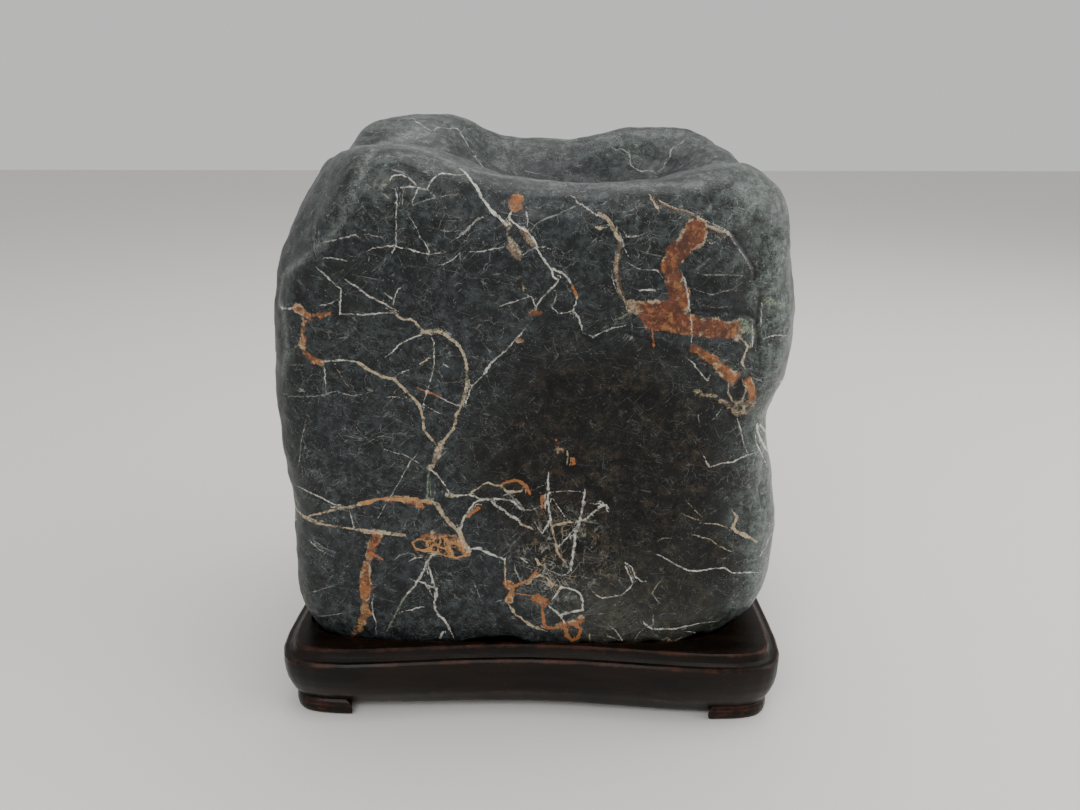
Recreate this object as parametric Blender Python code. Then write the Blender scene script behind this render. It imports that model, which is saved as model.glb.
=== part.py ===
"""A viewing stone standing in its carved hardwood stand.

The stone is a dark, blocky river stone with a basin in its crown. It rests in a
pocket that is carved to its own outline in the deck of a low moulded stand, which
is one block of wood with four corner feet.

Metres, +Z up. The origin is on the floor under the middle of the stand, and the
stone's best side faces -Y.
"""

import math

import bmesh
import bpy
from mathutils import Vector, noise

MM = 0.001

# Stand, driving dimensions
STAND_HALF_WIDTH = 91.5 * MM
STAND_HALF_DEPTH = 71 * MM
STAND_SQUARENESS = 11
DECK_HEIGHT = 27 * MM
FRONT_BOW = 5 * MM
BACK_BOW = 2.5 * MM
SIDE_BOW = 1.5 * MM
APRON_DROOP = 1.8 * MM
POCKET_DEPTH = 4 * MM
POCKET_CLEARANCE = 0.6 * MM
SEAT_GAP = 0.3 * MM
FOOT_SPREAD = 27 * MM
FOOT_INSET = 3.3 * MM
HEEL_FULLNESS = 4 * MM
RING_STEPS_PER_SIDE = 16
FOOT_STEPS = 7

# Stand's moulding from the underside up: inset and height in mm, share of the bow
MOULDING = [
    (6.6, 3.6, 0.5), (5.8, 4, 0.5), (4.9, 5.2, 0.55), (3.5, 7.4, 0.65), (1.9, 10, 0.75),
    (0.7, 13.4, 0.9), (0.1, 17.2, 1), (0, 20.8, 1), (0.25, 23, 1), (0.9, 23.7, 1),
    (2.2, 23.8, 1), (3.4, 24.5, 1), (4.1, 25.7, 1), (4.5, 26.6, 1), (5.2, 27, 1),
]
# A foot from the floor up: share of its widest plan, and height in mm
FOOT_MOULDING = [(0.9, 0), (0.97, 0.8), (1, 2.4), (0.98, 4), (0.91, 5.2), (0.8, 6), (0.6, 8)]

# Stone, driving dimensions
STONE_BASE = DECK_HEIGHT - POCKET_DEPTH + SEAT_GAP
STONE_SHOULDER = 190 * MM

# Outline of the stone: how far each side reaches from the middle, by height, in mm
LEFT_REACH = [
    (23, 79), (27, 81.6), (32, 83.6), (40, 85.2), (54, 84.6), (82, 84.9), (97, 84.8), (115, 84.8),
    (136, 83.2), (150, 83), (160, 82.2), (169, 80.4), (177, 77.4), (184, 73.4), (190, 66.5),
]
RIGHT_REACH = [
    (23, 72), (27, 76.5), (32, 81.5), (40, 86.2), (52, 88.8), (65, 89.6), (77, 89.4), (89, 87.8),
    (98, 85.4), (106, 83.4), (112, 84.2), (120, 86.8), (132, 88.2), (144, 88.6), (156, 87.8),
    (169, 85.6), (177, 83), (184, 78.8), (190, 70.8),
]
FRONT_REACH = [
    (23, 57), (27, 59.2), (34, 60.4), (60, 60.6), (110, 60), (160, 60.2), (176, 59.4), (184, 57),
    (188, 54), (190, 49),
]
BACK_REACH = [
    (23, 50), (27, 53.5), (36, 57.5), (56, 60.5), (92, 62.5), (130, 61), (156, 59.6), (174, 57),
    (184, 52), (190, 43),
]
# The stone's plan is wider towards its front by this share at each end
FRONT_FLARE = 0.05

# Crown of the stone: how far its rims stand above the shoulder, from left to right, in mm
FRONT_RIM = [
    (-80, 1), (-66, 4.6), (-54, 7.2), (-44, 8), (-34, 6.6), (-22, 2.6), (-8, -1), (10, -2.8),
    (34, -2.8), (50, -1), (66, 1.4), (80, 0.5),
]
BACK_RIM = [
    (-80, 11), (-68, 14.4), (-54, 15.8), (-40, 16), (-30, 14.8), (-22, 11), (-15, 8.8), (0, 8.4),
    (24, 9), (44, 11.6), (58, 12), (70, 9.4), (80, 4.5),
]

# Corners of the stone's plan, from blunt (2) to square
CORNER_SQUARENESS = {
    ("left", "front"): 7.0,
    ("right", "front"): 4.8,
    ("left", "back"): 3.6,
    ("right", "back"): 4.0,
}

# Hollows worn into the crown: depth, then centre and reach across and deep, and how flat
# the floor is (2 is a plain bowl), in mm
CROWN_HOLLOWS = {
    "basin": (19, (16, 2), (44, 25), 4),
    "saddle": (9, (-46, -6), (26, 17), 2),
    "outlet": (5, (72, -8), (20, 13), 2),
}

# Hollows and creases worn into the flanks: where each starts and ends, reach and depth, in mm
WORN_HOLLOWS = {
    "broad front dish": ((29, -57, 118), (32, -57, 84), 38, 2.6),
    "front cup": ((-8, -59, 134), (4, -59, 124), 9, 1.8),
    "right front crease": ((68, -56, 172), (73, -55, 134), 6, 2.2),
    "ledge under the right front": ((54, -59, 113), (84, -46, 109), 8, 1.8),
    "right flank scoop": ((88, -14, 108), (88, 18, 104), 20, 3.4),
    "left front strip": ((-83, -50, 158), (-84, -50, 128), 6, 1.2),
    "left flank dish": ((-86, 0, 98), (-86, 22, 78), 28, 3.0),
    "left flank crease": ((-84, 34, 150), (-82, 8, 168), 8, 2.4),
    "back dish": ((-34, 62, 118), (-4, 62, 100), 34, 4.2),
    "back crease": ((34, 62, 150), (20, 62, 74), 9, 2.6),
    "back shelf": ((40, 60, 62), (70, 56, 52), 20, 3.4),
}

# Flats that cut the stone's corners: a point on each, and the way that it faces, in mm
FLATS = {
    "left front shoulder": ((-62, -60, 175), (-0.74, -0.46, 0.49)),
    "left back shoulder": ((-76, 44, 168), (-0.7, 0.55, 0.46)),
    "right back shoulder": ((76, 44, 172), (0.62, 0.6, 0.5)),
    "right back corner": ((82, 40, 80), (0.74, 0.66, -0.1)),
    "left back corner": ((-78, 46, 70), (-0.66, 0.74, -0.12)),
    "back brow": ((10, 60, 176), (0.05, 0.86, 0.5)),
}
FLAT_STRENGTH = 0.8

# Weathered unevenness of the skin: height and size of the bumps, and where the pattern starts
UNEVENNESS = [
    (2.6, 46, (3.1, 0.4, 1.7)),
    (1.5, 19, (0.2, 5.3, 2.9)),
]

# Cells of the cube that the stone is shaped from, across, deep and high
STONE_CELLS = (24, 20, 25)


def smooth_step(low, high, value):
    """0 below low, 1 above high, and an easy curve between."""
    share = min(1.0, max(0.0, (value - low) / (high - low)))
    return share * share * (3 - 2 * share)


def curve_through(points, place):
    """The value at a place on the smooth curve through (place, value) points."""
    place = min(max(place, points[0][0]), points[-1][0])
    i = max(n for n in range(len(points) - 1) if points[n][0] <= place)

    def slope(n):
        before, after = points[max(n - 1, 0)], points[min(n + 1, len(points) - 1)]
        return (after[1] - before[1]) / (after[0] - before[0])

    (start, low), (end, high) = points[i], points[i + 1]
    span = end - start
    t = (place - start) / span
    return (
        low * (2 * t**3 - 3 * t**2 + 1)
        + high * (3 * t**2 - 2 * t**3)
        + slope(i) * span * (t**3 - 2 * t**2 + t)
        + slope(i + 1) * span * (t**3 - t**2)
    )


def rounded_square(u, v, squareness):
    """A point of the unit square's rim, drawn in to a square with rounded corners."""
    return Vector((u, v)) / (abs(u) ** squareness + abs(v) ** squareness) ** (1 / squareness)


def rim_points(steps):
    """Points round the unit square's rim, anticlockwise and closer near its corners."""
    side = [math.sin(math.pi / 2 * (2 * n / steps - 1)) for n in range(steps)]
    return (
        [(s, -1.0) for s in side]
        + [(1.0, s) for s in side]
        + [(-s, 1.0) for s in side]
        + [(-1.0, -s) for s in side]
    )


def stone_plan(u, v, level):
    """The stone's outline at a level, for a point of the unit square's rim."""
    corner = ("left" if u < 0 else "right", "front" if v < 0 else "back")
    across, deep = rounded_square(u, v, CORNER_SQUARENESS[corner])
    level_mm = level / MM
    x = across * curve_through(LEFT_REACH if across < 0 else RIGHT_REACH, level_mm) * MM
    y = deep * curve_through(FRONT_REACH if deep < 0 else BACK_REACH, level_mm) * MM
    return Vector((x * (1 - FRONT_FLARE * deep), y))


def crown_lift(x, y):
    """Height of the crown above the shoulder: two rims, a basin and its outlet."""
    across, deep = x / MM, y / MM
    back_share = smooth_step(-38, 36, deep)
    lift = (1 - back_share) * curve_through(FRONT_RIM, across)
    lift += back_share * curve_through(BACK_RIM, across)
    for depth, centre, reach, flatness in CROWN_HOLLOWS.values():
        away = abs((across - centre[0]) / reach[0]) ** flatness
        away += abs((deep - centre[1]) / reach[1]) ** flatness
        lift -= depth * math.exp(-away)
    return lift * MM


def stone_point(u, v, w):
    """Where a point of the unit cube's skin lies on the smooth stone."""
    climb = (w + 1) / 2
    climb = (climb + math.sin(math.pi / 2 * climb)) / 2
    level = STONE_BASE + (STONE_SHOULDER - STONE_BASE) * climb
    out = max(abs(u), abs(v))
    if out > 0:
        plan = stone_plan(u / out, v / out, level) * out
    else:
        plan = Vector((0, 0))
    lift = crown_lift(*plan) * smooth_step(0.55, 1.0, climb)
    return Vector((plan.x, plan.y, level + lift))


def above_seat(place):
    """0 for the part of the stone that sits in the pocket, and 1 well above it."""
    return smooth_step(DECK_HEIGHT + 2 * MM, DECK_HEIGHT + 16 * MM, place.z)


def flattened(place):
    """The place drawn back towards every flat that it stands beyond."""
    for point, facing in FLATS.values():
        facing = Vector(facing).normalized()
        beyond = (place - Vector(point) * MM).dot(facing)
        if beyond > 0:
            place = place - facing * beyond * FLAT_STRENGTH * above_seat(place)
    return place


def weathering(place):
    """How far the stone's skin stands proud of the smooth form, or below it, in metres."""
    proud = 0.0
    for height, size, start in UNEVENNESS:
        proud += height * noise.noise(place / (size * MM) + Vector(start))
    for start, end, reach, depth in WORN_HOLLOWS.values():
        start, end = Vector(start) * MM, Vector(end) * MM
        along = (place - start).dot(end - start) / (end - start).length_squared
        nearest = start.lerp(end, min(1, max(0, along)))
        away = (place - nearest).length / (reach * MM)
        proud -= depth * math.exp(-(away**2))
    return proud * MM * above_seat(place)


def shaded_smooth(mesh, sharp_angle):
    """Smooth shading that keeps edges sharper than an angle, in degrees."""
    mesh.shade_smooth()
    mesh.set_sharp_from_angle(angle=math.radians(sharp_angle))


def add_object(name, bm, material, sharp_angle):
    """Turns a bmesh into a named object in the scene."""
    mesh = bpy.data.meshes.new(name)
    bmesh.ops.recalc_face_normals(bm, faces=bm.faces)
    bm.to_mesh(mesh)
    bm.free()
    mesh.materials.append(material)
    shaded_smooth(mesh, sharp_angle)
    thing = bpy.data.objects.new(name, mesh)
    bpy.context.scene.collection.objects.link(thing)
    return thing


def finish(name, colour, roughness):
    """A plain Principled finish."""
    material = bpy.data.materials.new(name)
    material.use_nodes = True
    shader = material.node_tree.nodes["Principled BSDF"]
    shader.inputs["Base Color"].default_value = (*colour, 1)
    shader.inputs["Roughness"].default_value = roughness
    shader.inputs["Metallic"].default_value = 0
    return material


def cube_skin(cells):
    """A unit cube's skin as a grid of square cells, with its points at -1 to 1."""
    bm = bmesh.new()
    corners = {}

    def corner(place):
        if place not in corners:
            corners[place] = bm.verts.new([2 * n / c - 1 for n, c in zip(place, cells)])
        return corners[place]

    for axis in range(3):
        first, second = (axis + 1) % 3, (axis + 2) % 3
        for end in (0, cells[axis]):
            for i in range(cells[first]):
                for j in range(cells[second]):
                    square = []
                    for di, dj in ((0, 0), (1, 0), (1, 1), (0, 1)):
                        place = [0, 0, 0]
                        place[axis], place[first], place[second] = end, i + di, j + dj
                        square.append(corner(tuple(place)))
                    bm.faces.new(square if end else square[::-1])
    return bm


def make_stone(material):
    """The stone: a cube's skin laid on the smooth form, cut by its flats, and weathered."""
    bm = cube_skin(STONE_CELLS)
    for vert in bm.verts:
        vert.co = flattened(stone_point(*vert.co))
    bm.normal_update()
    moved = {vert: vert.co + vert.normal * weathering(vert.co) for vert in bm.verts}
    for vert, place in moved.items():
        vert.co = place
    bmesh.ops.triangulate(bm, faces=bm.faces)
    return add_object("stone", bm, material, 50)


def stand_plan(u, v, bow_share):
    """The stand's outline: a square-cornered oblong whose four sides are bowed in."""
    across, deep = rounded_square(u, v, STAND_SQUARENESS)
    long_bow = (FRONT_BOW if deep < 0 else BACK_BOW) * (1 - smooth_step(0, 0.86, abs(across)))
    short_bow = SIDE_BOW * (1 - smooth_step(0, 0.86, abs(deep)))
    long_bow *= smooth_step(0.6, 0.95, abs(deep)) * bow_share
    short_bow *= smooth_step(0.6, 0.95, abs(across)) * bow_share
    x = across * STAND_HALF_WIDTH - math.copysign(short_bow, across)
    y = deep * STAND_HALF_DEPTH - math.copysign(long_bow, deep)
    return Vector((x, y))


def inset_ring(inset, bow_share):
    """The stand's outline drawn in by an inset, as a closed ring of points."""
    ring = [stand_plan(u, v, bow_share) for u, v in rim_points(RING_STEPS_PER_SIDE)]
    drawn = []
    for n, here in enumerate(ring):
        along = (ring[(n + 1) % len(ring)] - ring[n - 1]).normalized()
        inward = Vector((-along.y, along.x))
        drawn.append(here + inward * inset)
    return drawn


def pocket_ring():
    """The pocket's outline: the stone's own outline where it passes the deck."""
    ring = []
    for u, v in rim_points(RING_STEPS_PER_SIDE):
        plan = stone_plan(u, v, DECK_HEIGHT)
        ring.append(plan + plan.normalized() * POCKET_CLEARANCE)
    return ring


def moulding_height(height, place):
    """A moulding line's height: the front apron hangs a little lower at its right end."""
    right_end = smooth_step(0, 0.7 * STAND_HALF_WIDTH, place.x)
    near_front = smooth_step(0.6 * STAND_HALF_DEPTH, 0.85 * STAND_HALF_DEPTH, -place.y)
    low_down = 1 - smooth_step(0.1 * DECK_HEIGHT, 0.5 * DECK_HEIGHT, height)
    return height - APRON_DROOP * right_end * near_front * low_down


def lofted(rings):
    """A closed skin through rings of points, which go up from the lowest."""
    bm = bmesh.new()
    loops = [[bm.verts.new(place) for place in ring] for ring in rings]
    count = len(loops[0])
    for lower, upper in zip(loops, loops[1:]):
        for n in range(count):
            m = (n + 1) % count
            bm.faces.new((lower[n], lower[m], upper[m], upper[n]))
    bm.faces.new(loops[0][::-1])
    bm.faces.new(loops[-1])
    return bm


def make_stand_body():
    """The stand's block: its moulding lofted round the outline, and the pocket."""
    rings = []
    for inset, height, bow_share in MOULDING:
        ring = inset_ring(inset * MM, bow_share)
        rings.append([(p.x, p.y, moulding_height(height * MM, p)) for p in ring])
    for height in (DECK_HEIGHT, DECK_HEIGHT - POCKET_DEPTH):
        rings.append([(p.x, p.y, height) for p in pocket_ring()])
    return lofted(rings)


def foot_plan():
    """A foot's widest outline: round the stand's corner, and back along a curved heel."""
    along_width = FOOT_SPREAD / STAND_HALF_WIDTH
    along_depth = FOOT_SPREAD / STAND_HALF_DEPTH
    toe = []
    for n in range(-FOOT_STEPS, FOOT_STEPS + 1):
        share = n / FOOT_STEPS
        here = stand_plan(1 + along_width * min(0, share), 1 - along_depth * max(0, share), 0)
        facing = Vector((1 + share, 1 - share)).normalized()
        toe.append(here - facing * FOOT_INSET)
    start, end = toe[-1], toe[0]
    heel = []
    for n in range(1, FOOT_STEPS):
        share = n / FOOT_STEPS
        fullness = HEEL_FULLNESS * math.sin(math.pi * share)
        heel.append(start.lerp(end, share) - Vector((fullness, fullness)))
    return toe + heel


def make_foot(side, end):
    """One corner foot, as a plump pad that follows the corner's own curve."""
    plan = foot_plan()
    middle = sum(plan, Vector((0, 0))) / len(plan)
    rings = []
    for share, height in FOOT_MOULDING:
        ring = [middle.lerp(place, share) for place in plan]
        rings.append([(p.x * side, p.y * end, height * MM) for p in ring])
    return lofted(rings)


def make_stand(material):
    """The stand: its block and four feet, joined as they are carved from one piece."""
    stand = add_object("stand", make_stand_body(), material, 35)
    for side in (-1, 1):
        for end in (-1, 1):
            foot = add_object("foot_shape", make_foot(side, end), material, 35)
            foot.hide_render = True
            foot.display_type = "WIRE"
            join = stand.modifiers.new("join_foot", "BOOLEAN")
            join.operation = "UNION"
            join.object = foot
    return stand


def main():
    for thing in list(bpy.data.objects):
        bpy.data.objects.remove(thing)
    make_stone(finish("dark_green_stone", (0.035, 0.045, 0.045), 0.45))
    make_stand(finish("dark_stained_hardwood", (0.022, 0.011, 0.008), 0.35))


main()
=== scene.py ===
"""A veined viewing stone in its carved stand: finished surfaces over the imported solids."""

import math

import bpy
import numpy as np
from mathutils import Euler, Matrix, Vector, kdtree, noise
from mathutils.bvhtree import BVHTree


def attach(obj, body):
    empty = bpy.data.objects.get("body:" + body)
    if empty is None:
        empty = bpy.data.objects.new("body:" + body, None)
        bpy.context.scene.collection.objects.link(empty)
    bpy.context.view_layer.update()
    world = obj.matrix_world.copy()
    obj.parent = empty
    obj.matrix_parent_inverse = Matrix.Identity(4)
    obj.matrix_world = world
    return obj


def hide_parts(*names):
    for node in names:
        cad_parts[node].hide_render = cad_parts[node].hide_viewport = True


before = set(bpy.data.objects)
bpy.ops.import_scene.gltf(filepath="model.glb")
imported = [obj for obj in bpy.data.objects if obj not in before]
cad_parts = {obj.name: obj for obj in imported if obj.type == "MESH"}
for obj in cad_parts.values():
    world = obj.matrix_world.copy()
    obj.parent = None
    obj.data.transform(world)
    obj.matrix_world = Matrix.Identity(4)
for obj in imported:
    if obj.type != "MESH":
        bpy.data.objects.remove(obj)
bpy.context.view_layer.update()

MM = 0.001

# The photograph's view: its frame, its lens in pixels, and where the camera stood
PHOTO_WIDTH = 1080
PHOTO_HEIGHT = 810
LENS_PIXELS = 811
SENSOR_WIDTH = 36
CAMERA_PLACE = Vector((8.82, -306.38, 206.4)) * MM
CAMERA_TURN = Euler((math.radians(70.3), 0, math.radians(1.2)))

# How finely the stone is divided, in mm from the middle of a vein
FIRST_REFINED = 0.75
SECOND_REFINED = 0.25
FINE_HALF_WIDTH = 0.75
FARTHEST = 6.0
FINE_SPACING = 0.1
BAND_SPACING = 0.4

# Where a traced vein ends alone: how far off another must be and the widest that is thinned
# to a tip, in pixels, and the tip's share of the width
MEETING_DISTANCE = 4
WIDEST_TIPPED = 5
TIP_SHARE = 0.35

# Water-worn unevenness: size across and height, in mm, and a seed place
WORN_LUMPS = (
    (13.0, 0.75, (3, 1, 4)),
    (5.5, 0.42, (15, 9, 2)),
    (2.2, 0.14, (6, 5, 35)),
)

# The stand's rubbed arrises: the least turn that counts as one, and steps along it in mm
ARRIS_ANGLE = math.radians(14)
ARRIS_SPACING = 0.4

# Colours, as linear light
SLATE = (0.034, 0.043, 0.048)
DEEP_SLATE = (0.0022, 0.0030, 0.0034)
INK = (0.0016, 0.0025, 0.0032)
ORANGE = (0.52, 0.21, 0.065)
GREEN_GREY = (0.034, 0.048, 0.045)
# Pale green for the right side's tone and for the painted light on the top
PALE_GREEN_AND_TOP_LIGHT = (0.145, 0.185, 0.160)
# A pale grey for the painted highlights along the edges and the rim crest
EDGE_HIGHLIGHT_GREY = (0.190, 0.215, 0.200)
DARK_STAIN = (0.0035, 0.0028, 0.0022)
BROWN_STAIN = (0.060, 0.043, 0.025)
OLIVE_GREY = (0.062, 0.056, 0.038)
CHALK = (0.50, 0.53, 0.49)
WHITE = (0.72, 0.71, 0.64)
CREAM = (0.58, 0.47, 0.31)
TARNISH = (0.20, 0.15, 0.095)
RUST = (0.44, 0.155, 0.042)
DARK_RUST = (0.21, 0.060, 0.024)
AMBER = (0.56, 0.27, 0.095)
UMBER = (0.050, 0.020, 0.013)
MOSS = (0.24, 0.30, 0.21)

# Each kind of vein: colour, strength, and how far it turns to rust
VEIN_KINDS = {
    "bright": (WHITE, 1.0, 0.0),
    "white": (WHITE, 0.90, 0.0),
    "faint": (WHITE, 0.42, 0.0),
    "cream": (CREAM, 0.95, 0.25),
    "rust": (RUST, 1.0, 1.0),
    "dark rust": (DARK_RUST, 1.0, 1.0),
    "amber": (AMBER, 1.0, 0.6),
    "umber": (UMBER, 0.9, 0.8),
    "moss": (MOSS, 0.8, 0.0),
}

# Veins as traced on the photograph: kind, width in pixels and route in pixels
LUMP_VEINS = [
    ("white", 1.8, [(390, 180), (392, 176), (396, 175), (401, 175), (407, 177), (412, 180), (418, 187)]),
    ("moss", 7, [(383, 186), (388, 181)]),
    ("white", 2.2, [(401, 188), (407, 187), (416, 187), (422, 189), (427, 189)]),
    ("white", 2, [(427, 189), (430, 183), (434, 178), (439, 174), (443, 173), (453, 175), (466, 175)]),
    ("white", 1.8, [(418, 189), (416, 194), (414, 198), (412, 202)]),
    ("white", 1.4, [(395, 189), (397, 194), (396, 215), (396, 247), (392, 252), (390, 258)]),
    ("white", 1.4, [(402, 189), (403, 194), (403, 198), (402, 204)]),
    ("white", 1.2, [(406, 212), (413, 221), (418, 232), (419, 236), (424, 242), (430, 252), (428, 258)]),
    ("faint", 1.4, [(414, 205), (423, 201), (434, 198), (441, 196), (452, 195), (461, 194)]),
    ("faint", 1.2, [(427, 189), (431, 193), (437, 197)]),
    ("umber", 2, [(356, 156), (361, 160), (364, 168), (367, 175), (372, 184)]),
    ("cream", 1.2, [(379, 191), (385, 196), (394, 202)]),
    ("faint", 2.5, [(487, 215), (476, 220), (467, 230), (459, 237), (450, 242)]),
    ("faint", 2, [(433, 227), (444, 231), (461, 231)]),
]
MIDDLE_VEINS = [
    ("bright", 3.4, [(459, 168), (464, 171), (469, 178), (474, 184), (478, 189), (481, 197), (485, 202)]),
    ("bright", 3.4, [(485, 202), (490, 210), (497, 215), (502, 220), (507, 225)]),
    ("cream", [4, 5, 6, 9, 8, 6, 5, 6, 4, 2.5],
     [(507, 223), (508, 233), (511, 242), (513, 248), (517, 255), (520, 263), (519, 273),
      (519, 280), (522, 287), (525, 294)]),
    ("white", 3, [(511, 212), (509, 218)]),
    ("rust", 12, [(517, 199), (517, 207)]),
    ("bright", 2.5, [(510, 220), (517, 225), (523, 229), (528, 232), (532, 237), (536, 243), (537, 249)]),
    ("bright", 2.5, [(537, 249), (542, 257), (548, 265), (552, 270), (553, 277), (558, 280)]),
    ("cream", 6, [(523, 231), (528, 237), (533, 243)]),
    ("white", 2.2, [(554, 269), (563, 274), (568, 278), (572, 285)]),
    ("rust", 3.5, [(572, 285), (575, 292), (577, 297)]),
    ("white", 2, [(577, 297), (576, 303), (574, 308), (573, 318)]),
    ("white", 2, [(575, 312), (578, 317), (581, 322)]),
    ("white", 2.2, [(558, 281), (553, 287), (547, 293), (542, 298), (537, 305), (536, 310)]),
    ("rust", 6, [(533, 312), (539, 314)]),
    ("rust", 6, [(519, 340), (524, 342)]),
    ("white", 1.2, [(552, 307), (555, 300), (557, 293)]),
    ("white", 1.2, [(552, 307), (558, 313), (567, 313), (573, 310)]),
    ("white", 1.6, [(522, 256), (528, 251), (535, 248), (545, 247), (555, 250)]),
    ("white", 1.6, [(526, 205), (527, 215), (528, 222), (527, 228)]),
    ("white", 1.4, [(525, 294), (532, 297), (534, 303), (535, 308)]),
    ("white", 1.2, [(498, 307), (506, 304), (513, 302), (528, 297)]),
    ("faint", 1.2, [(509, 310), (515, 316), (521, 322)]),
    ("white", 1.6, [(527, 325), (521, 334), (513, 342), (508, 348), (502, 354), (496, 358)]),
    ("white", 3, [(496, 358), (492, 362), (488, 368), (485, 373)]),
    ("white", 1.6, [(485, 373), (480, 378), (474, 384), (470, 390), (467, 398), (465, 407)]),
    ("faint", 1.5, [(530, 232), (537, 223), (547, 218), (557, 214), (572, 208), (580, 204)]),
    ("white", 1.8, [(568, 195), (574, 197), (577, 202), (583, 205), (592, 212), (597, 215)]),
    ("faint", 1.2, [(593, 207), (603, 204), (613, 198), (623, 196)]),
    ("faint", 1.2, [(617, 212), (627, 212), (635, 209), (643, 200)]),
]
LEFT_VEINS = [
    ("white", 1.4, [(322, 242), (329, 241), (338, 239), (347, 237), (355, 235), (362, 239)]),
    ("faint", 1.2, [(362, 234), (371, 235), (381, 237), (386, 242)]),
    ("white", 1.4, [(366, 252), (373, 248), (384, 247), (394, 245)]),
    ("white", 1.4, [(396, 247), (403, 248), (412, 250), (422, 253), (429, 254), (439, 253), (446, 252)]),
    ("white", 1.4, [(467, 252), (478, 252), (489, 250), (498, 248), (504, 247)]),
    ("white", 1.4, [(434, 265), (444, 264), (452, 260), (457, 256), (461, 252)]),
    ("faint", 1.2, [(369, 256), (369, 261)]),
    ("white", 1.6, [(321, 258), (332, 258), (341, 259), (348, 262)]),
    ("white", 1.8, [(316, 267), (323, 273), (330, 280), (337, 286), (341, 289), (340, 304), (340, 314)]),
    ("white", 1.2, [(339, 299), (332, 302), (324, 305), (315, 306)]),
    ("white", 1.6, [(341, 314), (349, 314), (362, 315), (371, 314), (384, 313), (394, 313)]),
    ("cream", 3, [(394, 313), (399, 317), (404, 320), (411, 319), (415, 322), (419, 327), (423, 330)]),
    ("white", 2.5, [(342, 277), (349, 282), (358, 288), (368, 296), (377, 300), (386, 305), (399, 312)]),
    ("white", 1.4, [(403, 286), (398, 290), (396, 294), (394, 299), (393, 306)]),
    ("white", 1.1, [(384, 293), (393, 299)]),
    ("white", 2.6, [(278, 304), (282, 308), (288, 309), (296, 307)]),
    ("rust", 7, [(296, 308), (301, 309), (305, 314), (311, 318), (318, 317), (325, 315), (329, 314)]),
    ("rust", [6, 5, 6, 7, 6, 5, 4],
     [(305, 319), (302, 328), (302, 338), (303, 347), (306, 355), (312, 359), (321, 362)]),
    ("white", 2, [(321, 362), (330, 361), (340, 360), (349, 361), (358, 362)]),
    ("cream", 4, [(358, 362), (364, 367), (369, 370), (377, 374), (384, 377), (394, 379), (399, 384)]),
    ("cream", 3.6, [(399, 384), (404, 389), (411, 396), (415, 400), (419, 405), (421, 411), (423, 419)]),
    ("cream", 3.2, [(423, 419), (424, 430), (432, 440), (437, 445)]),
    ("white", 1.6, [(323, 362), (325, 370), (325, 379), (326, 390)]),
    ("cream", 1.1, [(335, 367), (340, 374), (345, 383), (352, 389)]),
    ("faint", 1.2, [(289, 365), (305, 365)]),
    ("faint", 1.2, [(336, 339), (347, 337)]),
    ("white", 1.8, [(421, 335), (414, 337), (407, 340), (399, 345), (392, 352), (385, 357)]),
    ("cream", 3.5, [(421, 333), (427, 331), (437, 331), (444, 334), (450, 339), (455, 342), (460, 347)]),
    ("cream", 3.5, [(460, 347), (463, 353), (466, 362), (467, 371), (467, 383), (465, 390), (463, 401)]),
    ("cream", 3.5, [(463, 401), (460, 409), (456, 416), (454, 428), (442, 443)]),
    ("cream", [5, 7, 6, 4], [(442, 443), (436, 459), (433, 465), (429, 468)]),
    ("faint", 1.2, [(440, 325), (449, 333), (459, 343)]),
    ("white", 1.5, [(431, 335), (434, 343), (434, 355), (434, 366), (432, 375), (429, 384), (423, 405)]),
    ("rust", 2.4, [(416, 387), (425, 392), (434, 394), (440, 397)]),
    ("white", 1.2, [(440, 397), (447, 401), (455, 405), (459, 406)]),
    ("white", 1.1, [(427, 407), (435, 411), (440, 413), (446, 416)]),
    ("cream", 2, [(420, 364), (429, 358)]),
    ("white", 1.8, [(441, 360), (444, 365), (452, 368)]),
    ("white", 1.4, [(397, 375), (403, 372), (412, 369)]),
    ("faint", 1.2, [(281, 393), (300, 397), (318, 396), (336, 391), (352, 396), (379, 390)]),
    ("faint", 3, [(366, 388), (373, 391)]),
    ("faint", 3, [(300, 389), (304, 390)]),
    ("white", 1.2, [(385, 397), (397, 397), (405, 399)]),
]
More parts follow.
